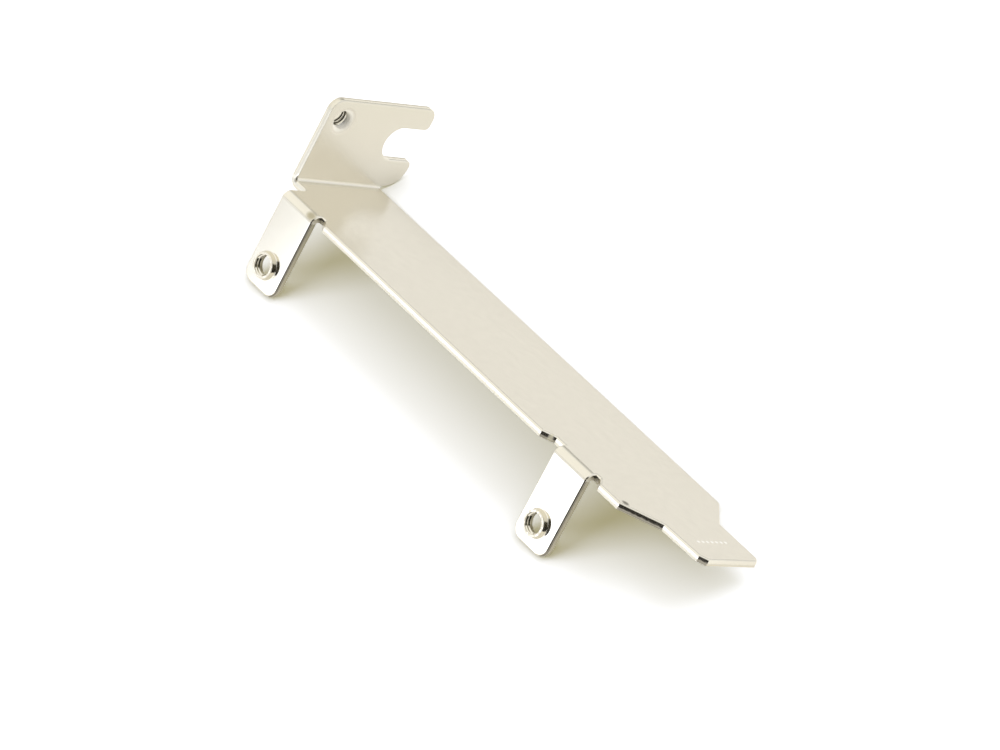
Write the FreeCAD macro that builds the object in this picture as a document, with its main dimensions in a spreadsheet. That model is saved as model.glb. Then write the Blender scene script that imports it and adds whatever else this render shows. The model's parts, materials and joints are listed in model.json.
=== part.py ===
import FreeCAD, Part
import math
import os
import Sketcher

# A low profile card bracket: one stamped and folded steel sheet.
# Modelling frame of the body, in millimetres: X runs along the plate from the flange's seat face (0)
# to the tongue's tip, Y runs across it from the edge with the tabs (0), and Z leaves the outer face (0).
# The flange folds up, the two tabs fold down, and the body's Placement lays the finished part at rest.

doc = FreeCAD.newDocument("card_bracket")
sheet = doc.addObject("Spreadsheet::Sheet", "Sizes")

SIZES = [
    # the sheet, the plate and the edge that the die rolls over on the outer face
    ("gauge", "0.86"),
    ("plate_width", "18.42"),
    ("edge_roll", "0.25"),
    # the flange that is screwed to the case, with its slot between an ear and a prong
    ("flange_left", "3.84"),
    ("flange_bend", "0.4"),
    ("flange_corner", "1.6"),
    ("ear_bottom", "0.15"),
    ("ear_reach", "3.51"),
    ("ear_width", "3.865"),
    ("ear_round", "3.0"),
    ("ear_corner", "0.8"),
    ("ear_flat", "0.05"),
    ("slot_width", "4.45"),
    ("slot_inset", "0.53"),
    ("prong_width", "2.985"),
    ("prong_corner", "1.4"),
    ("prong_inner_corner", "0.7"),
    # the two tabs that hold the card
    ("tab_start", "2.35"),
    ("tab_width", "6.1"),
    ("tab_pitch", "53.98"),
    ("tab_margin", "3.15"),
    ("tab_bend", "0.2"),
    ("tab_corner", "1.6"),
    ("bend_flat", "0.5"),
    # the relief cuts beside the tabs
    ("step_round", "0.5"),
    ("notch_clear", "0.29"),
    ("notch_width", "0.7"),
    ("notch_b_width", "1.45"),
    ("notch_run", "1.4"),
    ("notch_round", "0.3"),
    # the tongue that hooks into the case
    ("shoulder_gap", "5.77"),
    ("shoulder_offset", "0.75"),
    ("shoulder_left_run", "4.1"),
    ("shoulder_right_run", "4.3"),
    ("shoulder_left_inset", "4.0"),
    ("shoulder_right_inset", "4.0"),
    ("tongue_length", "7.0"),
    ("tip_left_inset", "4.3"),
    ("tip_right_inset", "4.0"),
    ("tip_left_chamfer", "0.9"),
    ("tip_right_chamfer", "0.7"),
    # the drawn and tapped holes, with their plain walls at the thread's pitch radius
    ("collar_fillet", "0.1"),
    ("collar_rim_round", "0.06"),
    ("tool_clearance", "1.0"),
    ("tab_thread_radius", "1.34"),
    ("tab_hole_level", "9.15"),
    ("tab_hole_shift", "0.18"),
    ("tab_collar_height", "0.68"),
    ("tab_rim_wall", "0.3"),
    ("tab_root_wall", "0.42"),
    ("tab_lip_round", "0.2"),
    ("flange_thread_radius", "1.104"),
    ("flange_hole_edge", "2.9"),
    ("flange_hole_drop", "2.82"),
    ("flange_collar_height", "1.3"),
    ("flange_rim_wall", "0.22"),
    ("flange_root_wall", "0.42"),
    ("flange_lip_round", "0.85"),
]

DERIVED = [
    ("flange_bend_outer", "=flange_bend + gauge"),
    ("flange_bend_flat", "=flange_bend + bend_flat"),
    ("flange_fold_width", "=plate_width - flange_left"),
    ("flange_right", "=plate_width + ear_reach"),
    ("ear_curve", "=min(ear_round; ear_reach - ear_flat; ear_width - ear_corner - ear_flat)"),
    ("slot_radius", "=slot_width / 2"),
    ("slot_foot", "=ear_bottom + ear_width"),
    ("slot_level", "=slot_foot + slot_radius"),
    ("slot_end_across", "=plate_width - slot_inset"),
    ("slot_mouth", "=flange_right + tool_clearance"),
    ("slot_top", "=slot_level + slot_radius"),
    ("flange_height", "=slot_top + prong_width"),
    ("tab_end", "=tab_start + tab_width"),
    ("tab_depth", "=tab_hole_level + tab_margin"),
    ("tab_bend_outer", "=tab_bend + gauge"),
    ("tab_bend_flat", "=tab_bend_outer + bend_flat"),
    ("second_start", "=tab_start + tab_pitch"),
    ("second_end", "=second_start + tab_width"),
    ("notch_depth", "=tab_bend_outer + notch_clear"),
    ("notch_a_root", "=tab_end + notch_width"),
    ("notch_a_foot", "=notch_a_root + notch_run"),
    ("notch_b_root", "=second_start - notch_b_width"),
    ("notch_b_foot", "=notch_b_root - notch_run"),
    ("notch_c_root", "=second_end + notch_width"),
    ("notch_c_foot", "=notch_c_root + notch_run"),
    ("shoulder_left", "=second_end + shoulder_gap"),
    ("shoulder_right", "=shoulder_left - shoulder_offset"),
    ("neck_left", "=shoulder_left + shoulder_left_run"),
    ("neck_right", "=shoulder_right + shoulder_right_run"),
    ("neck_right_across", "=plate_width - shoulder_right_inset"),
    ("overall_length", "=neck_left + tongue_length"),
    ("tip_left_start", "=overall_length - tip_left_chamfer"),
    ("tip_left", "=tip_left_inset + tip_left_chamfer"),
    ("tip_right_start", "=overall_length - tip_right_chamfer"),
    ("tip_right_across", "=plate_width - tip_right_inset"),
    ("tip_right", "=tip_right_across - tip_right_chamfer"),
    ("collar_depth", "=gauge / 2"),
    ("bore_start", "=gauge + tool_clearance"),
    ("tab_hole_along", "=tab_start + tab_width / 2 - tab_hole_shift"),
    ("tab_rim_radius", "=tab_thread_radius + tab_rim_wall"),
    ("tab_root_radius", "=tab_thread_radius + tab_root_wall"),
    ("tab_seat_radius", "=tab_root_radius + 2 * collar_fillet"),
    ("tab_mouth_radius", "=tab_thread_radius + tab_lip_round + tool_clearance"),
    ("tab_bore_end", "=tab_collar_height + tool_clearance"),
    ("flange_hole_across", "=flange_left + flange_hole_edge"),
    ("flange_hole_level", "=flange_height - flange_hole_drop"),
    ("flange_rim_radius", "=flange_thread_radius + flange_rim_wall"),
    ("flange_root_radius", "=flange_thread_radius + flange_root_wall"),
    ("flange_seat_radius", "=flange_root_radius + 2 * collar_fillet"),
    ("flange_mouth_radius", "=flange_thread_radius + flange_lip_round + tool_clearance"),
    ("flange_collar_rim", "=gauge + flange_collar_height"),
    ("flange_bore_end", "=flange_collar_rim + tool_clearance"),
]


def fill_sheet():
    """Write the driving sizes and what follows from them, one alias to a row."""
    for row, (alias, text) in enumerate(SIZES + DERIVED, start=1):
        sheet.set("A%d" % row, alias)
        sheet.set("B%d" % row, text)
        sheet.setAlias("B%d" % row, alias)
    doc.recompute()


def size(alias):
    """The number in the cell with this alias."""
    return float(sheet.get(alias))


def bind(feature, prop, formula):
    """Tie a property to the sheet, with every alias of the formula written as Sizes.alias."""
    feature.setExpression(prop, formula)


def origin(body, role):
    """The body's own origin plane or axis with this role."""
    for item in body.Origin.OriginFeatures:
        if item.Role == role:
            return item
    raise ValueError(role)


def new_sketch(body, name, role, shift=None):
    """A sketch on one of the body's origin planes, moved by formulas along its own x, y and z."""
    sketch = body.newObject("Sketcher::SketchObject", name)
    sketch.AttachmentSupport = [(origin(body, role), "")]
    sketch.MapMode = "FlatFace"
    for axis, formula in (shift or {}).items():
        bind(sketch, "AttachmentOffset.Base.%s" % axis, formula)
    return sketch


def place(sketch, geometry, point, coordinates):
    """Hold a point of the sketch at two signed aliases, or on an axis where the entry is None."""
    kinds = (("DistanceX", -2), ("DistanceY", -1))
    for (kind, axis), entry in zip(kinds, coordinates):
        if entry is None:
            sketch.addConstraint(Sketcher.Constraint("PointOnObject", geometry, point, axis))
            continue
        alias = entry.lstrip("-")
        ends = (-1, 1, geometry, point)
        if entry.startswith("-"):
            ends = (geometry, point, -1, 1)
        index = sketch.addConstraint(Sketcher.Constraint(kind, *ends, size(alias)))
        bind(sketch, "Constraints[%d]" % index, "Sizes.%s" % alias)


def spot(entry):
    """The signed number that a coordinate entry stands for."""
    if entry is None:
        return 0.0
    if entry.startswith("-"):
        return -size(entry[1:])
    return size(entry)


def left_arc(centre, radius, start, end):
    """The arc from start to end that turns left about its centre, as sketches keep their arcs."""
    angles = [math.atan2(point.y - centre.y, point.x - centre.x) for point in (start, end)]
    return Part.ArcOfCircle(Part.Circle(centre, FreeCAD.Vector(0, 0, 1), radius), *angles)


def outline(sketch, corners):
    """A closed outline through corners of two coordinate entries, with an optional radius to round each."""
    points = [FreeCAD.Vector(spot(across), spot(up), 0) for across, up, *_ in corners]
    radii = [rest[0] if rest else None for _, _, *rest in corners]
    count = len(corners)
    arrivals, departures, arcs = [], [], []
    for index, here in enumerate(points):
        before = (points[index - 1] - here).normalize()
        after = (points[(index + 1) % count] - here).normalize()
        if radii[index] is None:
            arrivals.append(here)
            departures.append(here)
            arcs.append(None)
            continue
        radius = size(radii[index])
        half = before.getAngle(after) / 2
        run = radius / math.tan(half)
        inward = (before + after).normalize()
        centre = here + inward * (radius / math.sin(half))
        arrivals.append(here + before * run)
        departures.append(here + after * run)
        turns_left = after.cross(before).z > 0
        ends = (arrivals[-1], departures[-1]) if turns_left else (departures[-1], arrivals[-1])
        arcs.append(left_arc(centre, radius, *ends))
    lines = []
    for index in range(count):
        end = arrivals[(index + 1) % count]
        lines.append(sketch.addGeometry(Part.LineSegment(departures[index], end)))
    for index, corner in enumerate(corners):
        arriving, leaving = lines[index - 1], lines[index]
        if arcs[index] is None:
            sketch.addConstraint(Sketcher.Constraint("Coincident", arriving, 2, leaving, 1))
            place(sketch, leaving, 1, corner[:2])
            continue
        arc = sketch.addGeometry(arcs[index])
        begins_here = arcs[index].StartPoint.isEqual(arrivals[index], 1e-6)
        first, last = (1, 2) if begins_here else (2, 1)
        sketch.addConstraint(Sketcher.Constraint("Tangent", arriving, 2, arc, first))
        sketch.addConstraint(Sketcher.Constraint("Tangent", arc, last, leaving, 1))
        index_of_radius = sketch.addConstraint(Sketcher.Constraint("Radius", arc, size(radii[index])))
        bind(sketch, "Constraints[%d]" % index_of_radius, "Sizes.%s" % radii[index])
        peak = sketch.addGeometry(Part.Point(points[index]), True)
        sketch.addConstraint(Sketcher.Constraint("PointOnObject", peak, 1, arriving))
        sketch.addConstraint(Sketcher.Constraint("PointOnObject", peak, 1, leaving))
        place(sketch, peak, 1, corner[:2])


def pad(body, name, sketch, length, reverse=False):
    """An extrusion of the sketch by a formula."""
    feature = body.newObject("PartDesign::Pad", name)
    feature.Profile = sketch
    feature.Reversed = reverse
    bind(feature, "Length", length)
    doc.recompute()
    return feature


def turned(body, kind, name, sketch):
    """A full turn of the sketch about its own horizontal axis."""
    feature = body.newObject("PartDesign::%s" % kind, name)
    feature.Profile = sketch
    feature.ReferenceAxis = (sketch, ["H_Axis"])
    feature.Angle = 360
    doc.recompute()
    return feature


def make_plate(body):
    """The flat of the sheet: plate, roots of the folds, reliefs beside the tabs and the tongue."""
    sketch = new_sketch(body, "plate_outline", "XY_Plane")
    outline(sketch, [
        ("flange_bend", "flange_left"),
        ("tab_start", "flange_left", "step_round"),
        ("tab_start", "tab_bend_outer"),
        ("tab_end", "tab_bend_outer"),
        ("tab_end", "notch_depth"),
        ("notch_a_root", "notch_depth", "notch_round"),
        ("notch_a_foot", None),
        ("notch_b_foot", None),
        ("notch_b_root", "notch_depth", "notch_round"),
        ("second_start", "notch_depth"),
        ("second_start", "tab_bend_outer"),
        ("second_end", "tab_bend_outer"),
        ("second_end", "notch_depth"),
        ("notch_c_root", "notch_depth", "notch_round"),
        ("notch_c_foot", None),
        ("shoulder_left", None),
        ("neck_left", "shoulder_left_inset"),
        ("tip_left_start", "tip_left_inset"),
        ("overall_length", "tip_left"),
        ("overall_length", "tip_right"),
        ("tip_right_start", "tip_right_across"),
        ("neck_right", "neck_right_across"),
        ("shoulder_right", "plate_width"),
        ("flange_bend", "plate_width"),
    ])
    pad(body, "plate", sketch, "Sizes.gauge", reverse=True)


def make_flange(body):
    """The upright flange with its fold, its ear past the plate's edge and the open screw slot."""
    fold = new_sketch(body, "flange_fold_section", "XZ_Plane", {"z": "-Sizes.flange_left"})
    outline(fold, [
        ("-gauge", "flange_bend_flat"),
        (None, "flange_bend_flat"),
        (None, None, "flange_bend"),
        ("flange_bend_flat", None),
        ("flange_bend_flat", "-gauge"),
        ("-gauge", "-gauge", "flange_bend_outer"),
    ])
    pad(body, "flange_fold", fold, "Sizes.flange_fold_width", reverse=True)

    face = new_sketch(body, "flange_outline", "YZ_Plane")
    outline(face, [
        ("flange_left", "flange_bend"),
        ("plate_width", "flange_bend"),
        ("plate_width", "ear_bottom"),
        ("flange_right", "ear_bottom", "ear_curve"),
        ("flange_right", "flange_height", "prong_corner"),
        ("flange_left", "flange_height", "flange_corner"),
    ])
    pad(body, "flange", face, "Sizes.gauge", reverse=True)
    cut_slot(body)


def cut_slot(body):
    """The open slot, round at its closed end, and the rounded tips of the prongs beside it."""
    sketch = new_sketch(body, "slot_outline", "YZ_Plane")
    centre = FreeCAD.Vector(size("slot_end_across"), size("slot_level"), 0)
    radius = size("slot_radius")
    top = centre + FreeCAD.Vector(0, radius, 0)
    foot = centre - FreeCAD.Vector(0, radius, 0)
    mouth = size("slot_mouth")
    mouth_top = FreeCAD.Vector(mouth, top.y, 0)
    mouth_foot = FreeCAD.Vector(mouth, foot.y, 0)
    end = sketch.addGeometry(left_arc(centre, radius, top, foot))
    lower = sketch.addGeometry(Part.LineSegment(foot, mouth_foot))
    gate = sketch.addGeometry(Part.LineSegment(mouth_foot, mouth_top))
    upper = sketch.addGeometry(Part.LineSegment(mouth_top, top))
    sketch.addConstraint(Sketcher.Constraint("Tangent", end, 2, lower, 1))
    sketch.addConstraint(Sketcher.Constraint("Coincident", lower, 2, gate, 1))
    sketch.addConstraint(Sketcher.Constraint("Coincident", gate, 2, upper, 1))
    sketch.addConstraint(Sketcher.Constraint("Tangent", upper, 2, end, 1))
    sketch.addConstraint(Sketcher.Constraint("Horizontal", lower))
    sketch.addConstraint(Sketcher.Constraint("Horizontal", upper))
    place(sketch, end, 3, ("slot_end_across", "slot_level"))
    place(sketch, gate, 1, ("slot_mouth", "slot_foot"))
    sketch.addConstraint(Sketcher.Constraint("Vertical", gate))
    slot = body.newObject("PartDesign::Pocket", "screw_slot")
    slot.Profile = sketch
    bind(slot, "Length", "Sizes.gauge")
    doc.recompute()
    round_corner(body, "upper_prong_tip", "slot_top", "prong_inner_corner")
    round_corner(body, "lower_prong_tip", "slot_foot", "ear_corner")


def round_corner(body, name, level, radius):
    """Round the flange's end edge at this level of the slot."""
    across, up = size("flange_right"), size(level)
    names = []
    for index, edge in enumerate(body.Shape.Edges, start=1):
        if all(abs(v.Y - across) < 1e-4 and abs(v.Z - up) < 1e-4 for v in edge.Vertexes):
            names.append("Edge%d" % index)
    base = body.Tip
    fillet = body.newObject("PartDesign::Fillet", name)
    fillet.Base = (base, names)
    bind(fillet, "Radius", "Sizes.%s" % radius)
    doc.recompute()


def make_tabs(body):
    """The two tabs, folded down and drawn out round a tapped hole, as one tab and its pattern."""
    fold = new_sketch(body, "tab_fold_section", "YZ_Plane", {"z": "Sizes.tab_start"})
    outline(fold, [
        ("tab_bend_flat", None),
        (None, None, "tab_bend_outer"),
        (None, "-tab_bend_flat"),
        ("gauge", "-tab_bend_flat"),
        ("gauge", "-gauge", "tab_bend"),
        ("tab_bend_flat", "-gauge"),
    ])
    bend = pad(body, "tab_fold", fold, "Sizes.tab_width")

    face = new_sketch(body, "tab_outline", "XZ_Plane")
    outline(face, [
        ("tab_start", "-tab_bend_outer"),
        ("tab_start", "-tab_depth", "tab_corner"),
        ("tab_end", "-tab_depth", "tab_corner"),
        ("tab_end", "-tab_bend_outer"),
    ])
    leg = pad(body, "tab_leg", face, "Sizes.gauge", reverse=True)

    axis = {"y": "-Sizes.tab_hole_level", "z": "Sizes.tab_hole_along"}
    collar = drawn_collar(body, "tab", "YZ_Plane", axis, ("-tab_collar_height", None, "collar_depth"))
    bore = tapped_bore(body, "tab", "YZ_Plane", axis, ("-tab_bore_end", "gauge", "bore_start"))

    pattern = body.newObject("PartDesign::LinearPattern", "tab_pair")
    pattern.Originals = [bend, leg, collar, bore]
    pattern.Direction = (origin(body, "X_Axis"), [""])
    pattern.Occurrences = 2
    bind(pattern, "Length", "Sizes.tab_pitch")
    body.Tip = pattern
    doc.recompute()


def drawn_collar(body, name, role, axis, levels):
    """The wall that the punch draws out round a hole: its rim, its face of the sheet and its root."""
    rim, face, root = levels
    sketch = new_sketch(body, "%s_collar_section" % name, role, axis)
    outline(sketch, [
        (root, None),
        (root, "%s_seat_radius" % name),
        (face, "%s_seat_radius" % name),
        (face, "%s_root_radius" % name, "collar_fillet"),
        (rim, "%s_rim_radius" % name, "collar_rim_round"),
        (rim, None),
    ])
    return turned(body, "Revolution", "%s_collar" % name, sketch)


def tapped_bore(body, name, role, axis, levels):
    """The hole through a collar, with the rounded lip where the punch went in."""
    end, face, start = levels
    sketch = new_sketch(body, "%s_bore_section" % name, role, axis)
    outline(sketch, [
        (end, None),
        (end, "%s_thread_radius" % name),
        (face, "%s_thread_radius" % name, "%s_lip_round" % name),
        (face, "%s_mouth_radius" % name),
        (start, "%s_mouth_radius" % name),
        (start, None),
    ])
    return turned(body, "Groove", "%s_bore" % name, sketch)


def make_flange_hole(body):
    """The tapped hole in the flange, drawn out at the back, away from the seat face."""
    axis = {"y": "Sizes.flange_hole_across", "z": "Sizes.flange_hole_level"}
    drawn_collar(body, "flange", "XY_Plane", axis, ("-flange_collar_rim", "-gauge", "-collar_depth"))
    tapped_bore(body, "flange", "XY_Plane", axis, ("-flange_bore_end", None, "tool_clearance"))


def outer_skin(shape):
    """The faces of the sheet's outer side, which the die rounds at their outline."""
    faces = []
    for face in shape.Faces:
        surface, centre = face.Surface, face.CenterOfMass
        if isinstance(surface, Part.Plane):
            normal = face.normalAt(0, 0)
            plate = normal.z > 0.999 and abs(centre.z) < 1e-4
            seat = normal.x > 0.999 and abs(centre.x) < 1e-4
            tab = normal.y < -0.999 and abs(centre.y) < 1e-4 and centre.z < -size("tab_bend_outer")
            if plate or seat or tab:
                faces.append(face)
        elif isinstance(surface, Part.Cylinder):
            flange_fold = abs(surface.Axis.y) > 0.999 and abs(surface.Radius - size("flange_bend")) < 1e-6
            tab_fold = abs(surface.Axis.x) > 0.999 and abs(surface.Radius - size("tab_bend_outer")) < 1e-6
            if flange_fold or tab_fold:
                faces.append(face)
    return faces


def roll_edges(body):
    """Round the outline of the outer side, all but the long edge that runs into the ear's root."""
    skin = outer_skin(body.Shape)
    names = []
    for index, edge in enumerate(body.Shape.Edges, start=1):
        owners = [face for face in skin if any(edge.isSame(side) for side in face.OuterWire.Edges)]
        at_far_edge = all(abs(v.Y - size("plate_width")) < 1e-4 for v in edge.Vertexes)
        if len(owners) == 1 and not at_far_edge:
            names.append("Edge%d" % index)
    base = body.Tip
    roll = body.newObject("PartDesign::Fillet", "rolled_edges")
    roll.Base = (base, names)
    bind(roll, "Radius", "Sizes.edge_roll")
    doc.recompute()


def lay_at_rest(body):
    """Lay the part as it comes to rest: on both tabs' inner edges and on the plate's far edge or the ear."""
    foot = FreeCAD.Vector(0, size("gauge"), -size("tab_depth"))
    edge = FreeCAD.Vector(0, size("plate_width"), -size("gauge")) - foot
    curve = size("ear_curve")
    ear = FreeCAD.Vector(0, size("flange_right") - curve, size("ear_bottom") + curve) - foot
    roll_on_edge = math.atan2(edge.z, edge.y)
    roll_on_ear = math.atan2(ear.z, ear.y) - math.asin(curve / ear.Length)
    roll = min(roll_on_edge, roll_on_ear)
    turn = FreeCAD.Rotation(FreeCAD.Vector(1, 0, 0), -math.degrees(roll))
    body.Placement = FreeCAD.Placement(FreeCAD.Vector(0, 0, 0), turn)
    box = body.Shape.optimalBoundingBox()
    body.Placement.Base = FreeCAD.Vector(-box.Center.x, -box.Center.y, -turn.multVec(foot).z)
    doc.recompute()


def check_and_export(body):
    """Stop on any broken feature, then write the body's STEP file under its label."""
    for item in doc.Objects:
        if "Invalid" in item.State or "Error" in item.State:
            raise RuntimeError("%s is in state %s" % (item.Name, item.State))
    if not body.Shape.isValid() or len(body.Shape.Solids) != 1:
        raise RuntimeError("%s is not one valid solid" % body.Label)
    os.makedirs("parts", exist_ok=True)
    body.Shape.exportStep("parts/%s.step" % body.Label)


fill_sheet()
bracket = doc.addObject("PartDesign::Body", "bracket")
bracket.Label = "bracket"
make_plate(bracket)
make_flange(bracket)
make_tabs(bracket)
make_flange_hole(bracket)
roll_edges(bracket)
lay_at_rest(bracket)
check_and_export(bracket)
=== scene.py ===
"""Looks of the low profile card bracket: bright nickel, cut threads, floor, light and camera."""

import json
import math
from types import SimpleNamespace

import bmesh
import bpy
from mathutils import Euler, Matrix, Vector


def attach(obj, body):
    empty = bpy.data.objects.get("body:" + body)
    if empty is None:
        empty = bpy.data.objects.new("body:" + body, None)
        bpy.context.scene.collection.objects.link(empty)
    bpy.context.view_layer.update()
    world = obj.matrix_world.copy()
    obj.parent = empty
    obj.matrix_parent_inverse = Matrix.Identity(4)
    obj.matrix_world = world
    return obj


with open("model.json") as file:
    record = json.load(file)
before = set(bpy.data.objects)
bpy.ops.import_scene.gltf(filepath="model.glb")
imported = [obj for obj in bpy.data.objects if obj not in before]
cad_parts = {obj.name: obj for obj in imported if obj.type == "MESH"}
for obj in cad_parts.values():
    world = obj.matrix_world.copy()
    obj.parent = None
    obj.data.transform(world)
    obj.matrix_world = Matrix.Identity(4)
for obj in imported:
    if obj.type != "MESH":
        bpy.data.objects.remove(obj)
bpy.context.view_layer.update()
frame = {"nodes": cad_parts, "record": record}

MM = 0.001
GAUGE = 0.86

# The sheet's own frame, in mm: x along the plate from the flange, y from the tab edge, z off its face.
SHEET_ROLL = math.radians(33.08346)
SHEET_BASE = Vector((-38.56983, -8.73461, 10.77532))
SHEET_TURN = Matrix.Rotation(-SHEET_ROLL, 4, "X")
SHEET_TO_ROW = Matrix.Translation(SHEET_BASE * MM) @ SHEET_TURN @ Matrix.Scale(MM, 4)
ROW_TO_SHEET = SHEET_TO_ROW.inverted()


def threaded_bore(name):
    """A threaded hole of the record in the sheet's frame: mouth, inward direction, length and radius."""
    mount = next(entry for entry in frame["record"]["mounts"] if entry["name"] == name)
    inward = (ROW_TO_SHEET.to_3x3() @ Vector(mount["axis"])).normalized()
    length = mount["dims"]["length_mm"]
    mouth = ROW_TO_SHEET @ Vector(mount["pos_m"]) - inward * (length / 2.0)
    return SimpleNamespace(mouth=mouth, inward=inward, length=length, radius=mount["dims"]["r_mm"])


BORES = {name: threaded_bore(name) for name in ("card_thread_a", "card_thread_b", "flange_thread")}

# Levels on the sheet's z between which a tab's fold gives way to its flat.
BELOW_FOLD = (-0.9, -1.2)

# Linear tones of the plating and of the marks on it. The face, top, tab-wall, corner, thread and fold tones
# are painted shade; the lip and notch tones are painted light.
LIGHT_NICKEL = (0.830, 0.800, 0.710, 1.0)
DEEP_NICKEL = (0.808, 0.774, 0.678, 1.0)
SHADED_FACE_NICKEL = (0.782, 0.752, 0.668, 1.0)
SHADED_TOP_NICKEL = (0.75, 0.72, 0.615, 1.0)
LIP_PAINTED_LIGHT = (0.82, 0.785, 0.69, 1.0)
DEEP_LIP_PAINTED_LIGHT = (1.0, 0.98, 0.90, 1.0)
TORN_EDGE = (0.75, 0.71, 0.60, 1.0)
SHADED_TORN_TAB_EDGE = (0.60, 0.56, 0.43, 1.0)
TAB_CORNER_SHADE = (0.15, 0.13, 0.09, 1.0)
THREAD_FLANK_SHADE = (0.09, 0.075, 0.045, 1.0)
FOLD_SHADE_PATCH = (0.40, 0.36, 0.24, 1.0)
FOOT_SPOT = (0.22, 0.20, 0.14, 1.0)
SHOULDER_SPECK = (0.10, 0.09, 0.06, 1.0)
STEP_SHADE = (0.68, 0.65, 0.55, 1.0)
NOTCH_PAINTED_LIGHT = (0.72, 0.68, 0.50, 1.0)
PUNCH_MARK = (1.0, 0.99, 0.96, 1.0)
WHITE = (1.0, 1.0, 1.0, 1.0)


def empty_tree(owner):
    """The node tree of a material or a world, with nothing in it."""
    owner.use_nodes = True
    owner.node_tree.nodes.clear()
    return owner.node_tree


def node(tree, kind, settings=None, **inputs):
    """A new node; an input is a plain value, or another node's output socket."""
    made = tree.nodes.new(kind)
    for key, value in (settings or {}).items():
        setattr(made, key, value)
    for key, value in inputs.items():
        place = int(key[1:]) if key[0] == "i" and key[1:].isdigit() else key.replace("_", " ")
        socket = made.inputs[place]
        if isinstance(value, bpy.types.NodeSocket):
            tree.links.new(value, socket)
        else:
            socket.default_value = value
    return made


def maths(tree, operation, a, b=0.0, c=0.0):
    return node(tree, "ShaderNodeMath", {"operation": operation}, i0=a, i1=b, i2=c).outputs[0]


def times(tree, first, *others):
    product = first
    for other in others:
        product = maths(tree, "MULTIPLY", product, other)
    return product


def vector_maths(tree, operation, a, b=(0.0, 0.0, 0.0), c=(0.0, 0.0, 0.0)):
    made = node(tree, "ShaderNodeVectorMath", {"operation": operation}, i0=a, i1=b, i2=c)
    return made.outputs["Value" if operation in ("LENGTH", "DOT_PRODUCT") else "Vector"]


def ramp_between(tree, value, low, high):
    """0 below low and 1 above high, smooth between; high may be the lower number."""
    made = node(
        tree, "ShaderNodeMapRange", {"interpolation_type": "SMOOTHSTEP", "clamp": True},
        Value=value, i1=low, i2=high, i3=0.0, i4=1.0,
    )
    return made.outputs[0]


def band(tree, value, low, high, soft):
    """1 between low and high and 0 outside, with soft flanks."""
    rise = ramp_between(tree, value, low - soft, low)
    fall = ramp_between(tree, value, high + soft, high)
    return times(tree, rise, fall)


def spot(tree, place, centre, radii):
    """1 about a point of the sheet and 0 beyond an ellipsoid round it."""
    rim, core = 1.0, 0.35
    shifted = vector_maths(tree, "SUBTRACT", place, centre)
    scaled = vector_maths(tree, "DIVIDE", shifted, radii)
    return ramp_between(tree, vector_maths(tree, "LENGTH", scaled), rim, core)


def blend(tree, share, first, second):
    """A colour: first where share is 0, second where it is 1."""
    return node(tree, "ShaderNodeMix", {"data_type": "RGBA"}, i0=share, i6=first, i7=second).outputs[2]


def blend_number(tree, share, first, second):
    return node(tree, "ShaderNodeMix", {"data_type": "FLOAT"}, i0=share, i2=first, i3=second).outputs[0]


def blend_vector(tree, share, first, second):
    return node(tree, "ShaderNodeMix", {"data_type": "VECTOR"}, i0=share, i4=first, i5=second).outputs[1]


def noise(tree, place, scale, detail):
    return node(tree, "ShaderNodeTexNoise", Vector=place, Scale=scale, Detail=detail).outputs[0]


def sheet_sockets(tree):
    """Where a shaded point lies on the sheet, in mm, and which way it faces."""
    coordinates = node(tree, "ShaderNodeTexCoord")
    turn = Euler((SHEET_ROLL, 0.0, 0.0))
    shift = -(turn.to_matrix() @ SHEET_BASE)
    per_metre = 1.0 / MM
    place = node(
        tree, "ShaderNodeMapping", {"vector_type": "POINT"},
        Vector=coordinates.outputs["Object"], Location=shift, Rotation=turn,
        Scale=(per_metre, per_metre, per_metre),
    ).outputs[0]
    facing = node(
        tree, "ShaderNodeMapping", {"vector_type": "NORMAL"},
        Vector=coordinates.outputs["Normal"], Rotation=turn,
    ).outputs[0]
    along, across, up = node(tree, "ShaderNodeSeparateXYZ", Vector=place).outputs
    leans = list(node(tree, "ShaderNodeSeparateXYZ", Vector=facing).outputs)
    slopes = [maths(tree, "ABSOLUTE", lean) for lean in leans]
    return SimpleNamespace(
        normal=coordinates.outputs["Normal"], place=place, along=along, across=across, up=up,
        leans=leans, slopes=slopes,
    )


def sheet_noises(tree, sheet):
    """Slow cloud, mottle, fine grain, streaks along the plate, and the roughness of a torn edge."""
    rolled = node(
        tree, "ShaderNodeMapping", {"vector_type": "POINT"}, Vector=sheet.place, Scale=(0.35, 7.0, 7.0),
    ).outputs[0]
    return SimpleNamespace(
        cloud=noise(tree, sheet.place, scale=0.12, detail=3.0),
        mottle=noise(tree, sheet.place, scale=0.9, detail=4.0),
        grain=noise(tree, sheet.place, scale=9.0, detail=0.0),
        streaks=noise(tree, rolled, scale=1.0, detail=1.0),
        torn=noise(tree, sheet.place, scale=3.2, detail=4.0),
    )


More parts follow.
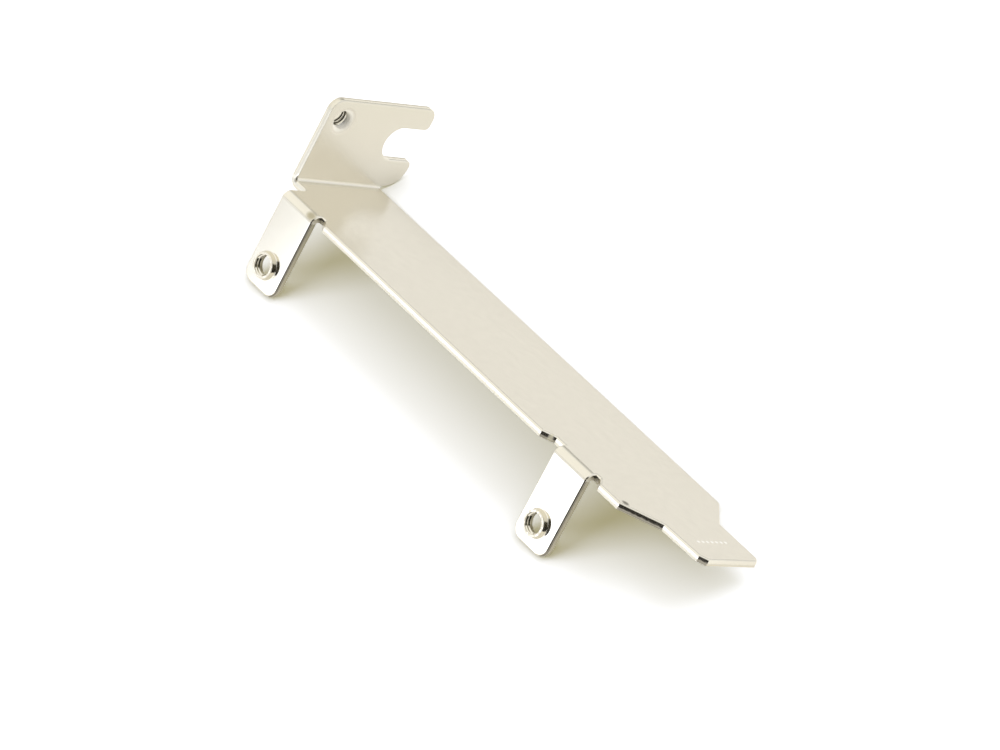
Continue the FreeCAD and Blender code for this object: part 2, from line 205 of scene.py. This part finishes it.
def cut_edges(tree, sheet, torn):
    """The walls that the punch left, each a shear band and a torn zone, and the collars' torn rims."""
    wall_slope = (0.35, 0.2)
    above_bend = (0.2, 0.5)
    end_soft = 0.02
    ragged_height, ragged_middle = 0.35, 0.17
    shear_depth, tab_shear_less, tear_soft = 0.56, 0.24, 0.12
    rim_start, rim_full = 0.10, 0.05
    rim_torn = (0.30, 0.55)

    below_plate = maths(tree, "DIVIDE", sheet.up, -GAUGE)
    below_tab = maths(tree, "DIVIDE", sheet.across, GAUGE)
    below_flange = maths(tree, "DIVIDE", sheet.along, -GAUGE)
    flange_wall, tab_wall, plate_wall = [ramp_between(tree, slope, *wall_slope) for slope in sheet.slopes]
    plate_edge = times(tree, plate_wall, band(tree, below_plate, 0.0, 1.0, end_soft))
    tab_edge = times(
        tree, tab_wall, band(tree, below_tab, 0.0, 1.0, end_soft),
        ramp_between(tree, sheet.up, *BELOW_FOLD),
    )
    flange_edge = times(
        tree, flange_wall, band(tree, below_flange, 0.0, 1.0, end_soft),
        ramp_between(tree, sheet.up, *above_bend),
    )
    edge = 0.0
    depth = 0.0
    for zone, level in ((plate_edge, below_plate), (tab_edge, below_tab), (flange_edge, below_flange)):
        edge = maths(tree, "MAXIMUM", edge, zone)
        depth = maths(tree, "MULTIPLY_ADD", zone, level, depth)

    centred = maths(tree, "SUBTRACT", depth, ragged_middle)
    ragged = maths(tree, "MULTIPLY_ADD", torn, ragged_height, centred)
    limit = maths(tree, "MULTIPLY_ADD", tab_edge, -tab_shear_less, shear_depth)
    past_limit = maths(tree, "SUBTRACT", ragged, limit)
    tear = times(tree, edge, ramp_between(tree, past_limit, 0.0, tear_soft))
    tab_mouth = BORES["card_thread_a"].mouth.y
    flange_mouth = BORES["flange_thread"].mouth.x
    tab_rim = ramp_between(tree, sheet.across, tab_mouth + rim_start, tab_mouth + rim_full)
    flange_rim = ramp_between(tree, sheet.along, flange_mouth + rim_start, flange_mouth + rim_full)
    rim = maths(tree, "MAXIMUM", tab_rim, flange_rim)
    tear = maths(tree, "MAXIMUM", tear, times(tree, rim, ramp_between(tree, torn, *rim_torn)))
    return SimpleNamespace(edge=edge, tear=tear, plate=plate_edge, tab=tab_edge)


def flange_hole(tree, sheet):
    """Zones at the flange's hole: the thread's flanks, the drawn lip, its deep part, and all outside it."""
    lip_rim, lip_full = 2.0, 1.55
    deep_start, deep_full = 1.75, 1.35
    lip_low, lip_high, lip_soft = -0.9, -0.02, 0.02
    crest_zone = (1.12, 1.10)
    flank_lean = (0.2, 0.4)
    outside_full = 2.15
    flange_level = (2.0, 3.0)

    centre = BORES["flange_thread"].mouth
    across_hole = (0.0, 1.0, 1.0)
    shifted = vector_maths(tree, "SUBTRACT", sheet.place, centre)
    distance = vector_maths(tree, "LENGTH", vector_maths(tree, "MULTIPLY", shifted, across_hole))
    on_flange = ramp_between(tree, sheet.up, *flange_level)
    flank = times(
        tree, ramp_between(tree, distance, *crest_zone),
        ramp_between(tree, sheet.leans[0], *flank_lean), on_flange,
    )
    lip = times(
        tree, ramp_between(tree, distance, lip_rim, lip_full),
        band(tree, sheet.along, lip_low, lip_high, lip_soft), on_flange,
    )
    deep_lip = times(tree, lip, ramp_between(tree, distance, deep_start, deep_full))
    outside = ramp_between(tree, distance, lip_rim, outside_full)
    return SimpleNamespace(flank=flank, lip=lip, deep_lip=deep_lip, outside=outside)


def punch_marks(tree, sheet):
    """A plain row of small bright punch marks across the tongue."""
    first, last, pitch, row_along = 6.4, 12.0, 0.8, 75.6
    rim, core = 0.27, 0.17
    row_soft = 0.01
    on_face = (-0.1, -0.02)
    pitches = maths(tree, "DIVIDE", maths(tree, "SUBTRACT", sheet.across, first), pitch)
    from_middle = maths(tree, "SUBTRACT", maths(tree, "FRACT", pitches), 0.5)
    aside = times(tree, from_middle, pitch)
    ahead = maths(tree, "SUBTRACT", sheet.along, row_along)
    squares = maths(tree, "ADD", maths(tree, "POWER", aside, 2.0), maths(tree, "POWER", ahead, 2.0))
    return times(
        tree, ramp_between(tree, maths(tree, "SQRT", squares), rim, core),
        band(tree, sheet.across, first, last, row_soft), ramp_between(tree, sheet.up, *on_face),
    )


def nickel_colour(tree, sheet, noises, cuts, hole, painted_notch_light):
    """Plating that varies slowly, with torn edges, a few marks, and painted shade and painted light in
    places.
    """
    cloud_limits = (0.35, 0.65)
    face_lean = (0.80, 0.995)
    face_level = (-0.20, -0.01)
    warm_level = (4.0, 12.0)
    warm_share = 0.8
    corner_lean = (0.25, 0.45)
    corner_low, corner_high, corner_soft = 0.02, 0.27, 0.04
    corner_share = 0.8
    step_centre, step_radii, step_share = (1.9, 2.2, -0.3), (1.3, 1.7, 1.0), 0.9
    flank_share = 0.92
    marks = (
        # Painted shade: a dark patch on the first tab's fold.
        ((7.7, 0.05, -0.2), (1.1, 0.9, 0.9), 0.85, FOLD_SHADE_PATCH),
        ((0.0, 3.84, -0.05), (0.35, 0.35, 0.35), 0.7, FOOT_SPOT),
        ((68.18, 1.0, 0.0), (0.66, 0.56, 0.4), 0.85, SHOULDER_SPECK),
    )

    colour = blend(tree, ramp_between(tree, noises.cloud, *cloud_limits), LIGHT_NICKEL, DEEP_NICKEL)
    # Painted shade: the plate's outer face gets a slightly darker copy of the nickel.
    painted_face_shade = times(
        tree, ramp_between(tree, sheet.leans[2], *face_lean), ramp_between(tree, sheet.up, *face_level),
    )
    colour = blend(tree, painted_face_shade, colour, SHADED_FACE_NICKEL)
    # Painted shade: the flange's upper half gets a darker, warmer copy of the nickel, standing in for a
    # darker reflection there.
    painted_top_shade = times(tree, ramp_between(tree, sheet.up, *warm_level), warm_share)
    colour = blend(tree, painted_top_shade, colour, SHADED_TOP_NICKEL)
    # Torn zones are real. On the tabs they get a darker copy of the torn tone, which is painted shade.
    colour = blend(tree, cuts.tear, colour, blend(tree, cuts.tab, TORN_EDGE, SHADED_TORN_TAB_EDGE))

    # Painted shade: the rolled corner of each tab's right wall is painted dark.
    painted_corner_shade = times(
        tree, ramp_between(tree, sheet.leans[0], *corner_lean),
        band(tree, sheet.across, corner_low, corner_high, corner_soft),
        ramp_between(tree, sheet.up, *BELOW_FOLD), corner_share,
    )
    colour = blend(tree, painted_corner_shade, colour, TAB_CORNER_SHADE)
    for centre, radii, share, tone in marks:
        colour = blend(tree, times(tree, spot(tree, sheet.place, centre, radii), share), colour, tone)
    step_shade = times(tree, spot(tree, sheet.place, step_centre, step_radii), cuts.plate, step_share)
    colour = blend(tree, step_shade, colour, STEP_SHADE)

    # Painted shade: the thread's flanks that face the hole's mouth are painted dark, giving dark stripes in
    # the bore.
    colour = blend(tree, times(tree, hole.flank, flank_share), colour, THREAD_FLANK_SHADE)
    # Painted light: the lip of the flange's hole is painted lighter than the flange round it, and its deep
    # part lighter still, where the hole's own walls shade it.
    colour = blend(tree, hole.lip, colour, LIP_PAINTED_LIGHT)
    colour = blend(tree, hole.deep_lip, colour, DEEP_LIP_PAINTED_LIGHT)
    # Painted light: the middle of the notch left of the second tab is painted light.
    colour = blend(tree, painted_notch_light, colour, NOTCH_PAINTED_LIGHT)
    return blend(tree, punch_marks(tree, sheet), colour, PUNCH_MARK)


def nickel_roughness(tree, sheet, noises, cuts, hole):
    """The rolled faces are satin, the drawn tabs brighter, the torn zones and the hole's lip dull."""
    satin_base, satin_spread = 0.20, 0.08
    bright_base, bright_spread = 0.08, 0.03
    tab_level = (-0.15, -0.8)
    sheared, torn_dull, lip_dull = 0.10, 0.42, 0.40
    streak_share = 0.02
    satin = maths(tree, "MULTIPLY_ADD", noises.mottle, satin_spread, satin_base)
    bright = maths(tree, "MULTIPLY_ADD", noises.mottle, bright_spread, bright_base)
    roughness = blend_number(tree, ramp_between(tree, sheet.up, *tab_level), satin, bright)
    for share, value in ((cuts.edge, sheared), (cuts.tear, torn_dull), (hole.lip, lip_dull)):
        roughness = blend_number(tree, share, roughness, value)
    return maths(tree, "MULTIPLY_ADD", noises.streaks, streak_share, roughness)


def nickel_normal(tree, sheet, noises, cuts, hole):
    """The shaded normal: tighter at the flange's left outline, shallower on its hole's lip, and grained."""
    roll_low, roll_high, roll_soft = -0.26, 0.01, 0.005
    roll_level = (0.3, 0.9)
    off_flat = (0.999, 0.99)
    side_over_top = (-0.05, 0.05)
    wall_start = (-0.048, -0.054)
    lip_share = 0.88
    flange_facing = (1.0, 0.0, 0.0)
    streak_height, grain_height, torn_height = 0.4, 0.2, 2.0
    bump_strength, bump_depth = 0.015, 0.02 * MM

    side_more = maths(tree, "SUBTRACT", sheet.slopes[1], sheet.slopes[2])
    roll = times(
        tree, band(tree, sheet.along, roll_low, roll_high, roll_soft), hole.outside,
        ramp_between(tree, sheet.up, *roll_level), ramp_between(tree, sheet.slopes[0], *off_flat),
        ramp_between(tree, side_more, *side_over_top),
    )
    # The small x share keeps the vector from vanishing where a face looks straight along x.
    walled = vector_maths(tree, "MULTIPLY_ADD", sheet.normal, (0.0, 1.0, 1.0), (0.001, 0.0, 0.0))
    walled = vector_maths(tree, "NORMALIZE", walled)
    on_wall = times(tree, ramp_between(tree, sheet.along, *wall_start), hole.outside)
    changed = node(
        tree, "ShaderNodeVectorTransform",
        {"vector_type": "NORMAL", "convert_from": "OBJECT", "convert_to": "WORLD"},
        Vector=blend_vector(tree, on_wall, flange_facing, walled),
    ).outputs[0]
    true_normal = node(tree, "ShaderNodeNewGeometry").outputs["Normal"]
    share = maths(tree, "MAXIMUM", roll, times(tree, hole.lip, lip_share))
    leaning = blend_vector(tree, share, true_normal, changed)

    relief = times(tree, noises.grain, grain_height)
    relief = maths(tree, "MULTIPLY_ADD", noises.streaks, streak_height, relief)
    relief = maths(tree, "MULTIPLY_ADD", times(tree, cuts.tear, noises.torn), torn_height, relief)
    bump = node(
        tree, "ShaderNodeBump", Strength=bump_strength, Distance=bump_depth, Height=relief, Normal=leaning,
    )
    return bump.outputs[0]


def nickel_material():
    """Bright nickel plate, laid out by where a point lies on the sheet."""
    notch_centre, notch_radii = (54.35, 0.95, -0.45), (0.45, 0.5, 0.7)
    notch_frost = 0.85
    material = bpy.data.materials.new("bright_nickel")
    tree = empty_tree(material)
    sheet = sheet_sockets(tree)
    noises = sheet_noises(tree, sheet)
    cuts = cut_edges(tree, sheet, noises.torn)
    hole = flange_hole(tree, sheet)
    # Painted light: the middle of the notch left of the second tab is painted light and made less metallic.
    painted_notch_light = spot(tree, sheet.place, notch_centre, notch_radii)
    shader = node(
        tree, "ShaderNodeBsdfPrincipled",
        Base_Color=nickel_colour(tree, sheet, noises, cuts, hole, painted_notch_light),
        Metallic=maths(tree, "MULTIPLY_ADD", painted_notch_light, -notch_frost, 1.0),
        Roughness=nickel_roughness(tree, sheet, noises, cuts, hole),
        Normal=nickel_normal(tree, sheet, noises, cuts, hole),
    )
    node(tree, "ShaderNodeOutputMaterial", Surface=shader.outputs[0])
    return material


NICKEL = nickel_material()
bracket = frame["nodes"]["bracket"]
bracket.data.materials.clear()
bracket.data.materials.append(NICKEL)


def mesh_object(name, mesh, material):
    """A new object in the scene, from a bmesh that is then freed."""
    data = bpy.data.meshes.new(name)
    mesh.to_mesh(data)
    mesh.free()
    data.materials.append(material)
    piece = bpy.data.objects.new(name, data)
    bpy.context.scene.collection.objects.link(piece)
    return piece


def square(size):
    mesh = bmesh.new()
    bmesh.ops.create_grid(mesh, x_segments=1, y_segments=1, size=size)
    return mesh


def thread_piece(name, past_wall, crest_radius, pitch, foot_share):
    """A helical ridge on a bore's wall, from its mouth inward and a little past the wall, onto the lip."""
    steps_per_turn = 40
    run_out = 0.3
    foot_sunk = 0.012
    sharp_from = math.radians(25.0)
    lead = 0.06 * pitch
    half_crest = 0.04 * pitch
    half_foot = foot_share * pitch
    bore = BORES[name]
    foot_radius = bore.radius + foot_sunk
    first = bore.inward.orthogonal().normalized()
    second = bore.inward.cross(first)
    turns = (bore.length + past_wall - lead - half_foot) / pitch
    steps = int(turns * steps_per_turn)
    mesh = bmesh.new()
    loops = []
    for step in range(steps + 1):
        turn = step / steps_per_turn
        angle = 2.0 * math.pi * turn
        fade = min(1.0, (steps / steps_per_turn - turn) / run_out)
        crest = bore.radius + (crest_radius - bore.radius) * fade
        outward = first * math.cos(angle) + second * math.sin(angle)
        depth = lead + turn * pitch
        section = (
            (depth - min(half_foot, depth), foot_radius),
            (depth - half_crest, crest),
            (depth + half_crest, crest),
            (depth + half_foot, foot_radius),
        )
        loops.append([
            mesh.verts.new(SHEET_TO_ROW @ (bore.mouth + bore.inward * level + outward * radius))
            for level, radius in section
        ])
    for before, after in zip(loops, loops[1:]):
        for index in range(len(before)):
            beside = (index + 1) % len(before)
            mesh.faces.new((before[index], before[beside], after[beside], after[index]))
    mesh.faces.new(loops[0])
    mesh.faces.new(reversed(loops[-1]))
    bmesh.ops.recalc_face_normals(mesh, faces=mesh.faces)
    piece = mesh_object(name, mesh, NICKEL)
    piece.data.polygons.foreach_set("use_smooth", [True] * len(piece.data.polygons))
    piece.data.set_sharp_from_angle(angle=sharp_from)
    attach(piece, "root")
    return piece


for tab_thread in ("card_thread_a", "card_thread_b"):
    thread_piece(tab_thread, past_wall=0.09, crest_radius=1.20, pitch=0.5, foot_share=0.31)
thread_piece("flange_thread", past_wall=0.14, crest_radius=0.985, pitch=0.45, foot_share=0.46)


def floor_material():
    """White paper that the camera sees a little overlit; near the part its glow is olive, a painted tint
    that makes the shadows there olive.
    """
    paper_lit, paper_seen = (0.92, 0.92, 0.92, 1.0), (1.26, 1.345, 1.588, 1.0)
    glow_mirrored, glow_seen = (0.27, 0.26, 0.20, 1.0), (0.237, 0.196, 0.013, 1.0)
    glow_far = (0.2, 0.5)
    material = bpy.data.materials.new("white_floor")
    tree = empty_tree(material)
    path = node(tree, "ShaderNodeLightPath")
    seen = path.outputs["Is Camera Ray"]
    mirrored = maths(tree, "MAXIMUM", path.outputs["Is Glossy Ray"], path.outputs["Is Transmission Ray"])
    ground = node(tree, "ShaderNodeTexCoord").outputs["Object"]
    distance = vector_maths(tree, "LENGTH", ground)
    # Painted shade colour: the glow the camera sees is olive near the part, tinting its shadows, and white
    # far off.
    near_to_far = blend(tree, ramp_between(tree, distance, *glow_far), glow_seen, WHITE)
    matt = node(tree, "ShaderNodeBsdfDiffuse", Color=blend(tree, seen, paper_lit, paper_seen))
    glow = node(
        tree, "ShaderNodeEmission",
        Color=blend(tree, seen, glow_mirrored, near_to_far),
        Strength=maths(tree, "MAXIMUM", seen, mirrored),
    )
    both = node(tree, "ShaderNodeAddShader", i0=matt.outputs[0], i1=glow.outputs[0])
    node(tree, "ShaderNodeOutputMaterial", Surface=both.outputs[0])
    return material


def floor_piece():
    reach = 4.0
    below_part = 0.01 * MM
    piece = mesh_object("floor", square(reach), floor_material())
    piece.location = (0.0, 0.0, -below_part)
    return piece


floor_piece()


def world_light():
    """A pale tent: white to the eye, fill for matt things, and to metal bright above, dark on one side."""
    dark_side, dark_from, dark_tone = (0.60, -0.68, 0.42), (0.69, 0.77), (0.05, 0.045, 0.032, 1.0)
    bright_side, bright_from = (-0.5, 0.0, 0.85), (0.4, 0.9)
    plain_tone, bright_tone = (0.96, 0.965, 0.97, 1.0), (1.12, 1.10, 1.04, 1.0)
    back_side, back_from, back_tone = (-0.57, 0.81, 0.0), (0.78, 0.99), (0.56, 0.55, 0.51, 1.0)
    fill_tone = (0.52, 0.505, 0.50, 1.0)
    world = bpy.data.worlds.new("tent")
    bpy.context.scene.world = world
    tree = empty_tree(world)
    path = node(tree, "ShaderNodeLightPath")
    direction = node(tree, "ShaderNodeTexCoord").outputs["Generated"]
    mirrored = plain_tone
    for side, limits, tone in (
        (bright_side, bright_from, bright_tone),
        (back_side, back_from, back_tone),
        (dark_side, dark_from, dark_tone),
    ):
        toward = vector_maths(tree, "DOT_PRODUCT", direction, Vector(side).normalized())
        mirrored = blend(tree, ramp_between(tree, toward, *limits), mirrored, tone)
    shown = blend(tree, path.outputs["Is Glossy Ray"], fill_tone, mirrored)
    shown = blend(tree, path.outputs["Is Camera Ray"], shown, WHITE)
    light = node(tree, "ShaderNodeBackground", Color=shown, Strength=1.0)
    node(tree, "ShaderNodeOutputWorld", Surface=light.outputs[0])


world_light()


def soft_box(name, place, aim, size, power, colour, mirrored):
    """A rectangular lamp that the camera doesn't see, in metres and watts."""
    data = bpy.data.lights.new(name, "AREA")
    data.shape = "RECTANGLE"
    data.size, data.size_y = size
    data.energy = power
    data.color = colour
    lamp = bpy.data.objects.new(name, data)
    lamp.location = place
    lamp.rotation_mode = "QUATERNION"
    lamp.rotation_quaternion = (Vector(aim) - Vector(place)).to_track_quat("-Z", "Y")
    lamp.visible_camera = False
    lamp.visible_glossy = mirrored
    bpy.context.scene.collection.objects.link(lamp)
    return lamp


soft_box(
    "key_light", place=(0.10, 0.50, 0.62), aim=(0.0, 0.0, 0.0), size=(0.7, 0.7),
    power=2.3, colour=(0.96, 0.96, 1.0), mirrored=False,
)
soft_box(
    "front_light", place=(-0.12, -0.53, 0.40), aim=(0.0, 0.0, 0.0), size=(0.5, 0.5),
    power=1.7, colour=(0.97, 0.96, 1.0), mirrored=False,
)
soft_box(
    "left_light", place=(-0.0925, -0.35, 0.045), aim=(-0.0925, 0.0, 0.045), size=(0.385, 0.09),
    power=0.158, colour=(0.845, 0.88, 1.0), mirrored=True,
)


def dark_card():
    """A low black card on the camera's side, out of its sight, that only the metal mirrors."""
    width, height = 0.34, 0.06
    facing = Vector((-0.71, 0.70, 0.0))
    material = bpy.data.materials.new("black_card")
    material.use_nodes = True
    shader = material.node_tree.nodes["Principled BSDF"]
    shader.inputs["Base Color"].default_value = (0.012, 0.011, 0.008, 1.0)
    shader.inputs["Roughness"].default_value = 0.9
    card = mesh_object("dark_card", square(0.5), material)
    card.scale = (width, height, 1.0)
    card.location = (0.115, -0.112, height / 2.0)
    card.rotation_mode = "QUATERNION"
    card.rotation_quaternion = facing.to_track_quat("Z", "Y")
    card.visible_camera = False
    card.visible_diffuse = False
    card.visible_shadow = False
    card.visible_transmission = False


dark_card()


def photo_camera():
    """The camera fitted to the photo: a long lens that looks from the tongue's end and the tabs' side."""
    place = Vector((0.443415, -0.337037, 0.545077))
    right = Vector((0.59833, 0.80125, 0.00336))
    up = Vector((-0.56036, 0.41544, 0.71652))
    data = bpy.data.cameras.new("camera")
    data.sensor_width = 36.0
    data.lens = 237.163
    data.clip_start = 0.01
    data.clip_end = 100.0
    camera = bpy.data.objects.new("camera", data)
    back = right.cross(up).normalized()
    right = up.cross(back).normalized()
    turn = Matrix((right, up, back)).transposed().to_4x4()
    camera.matrix_world = Matrix.Translation(place) @ turn
    bpy.context.scene.collection.objects.link(camera)
    bpy.context.scene.camera = camera


photo_camera()
bpy.context.scene.view_settings.view_transform = "Standard"
bpy.context.scene.cycles.caustics_reflective = False
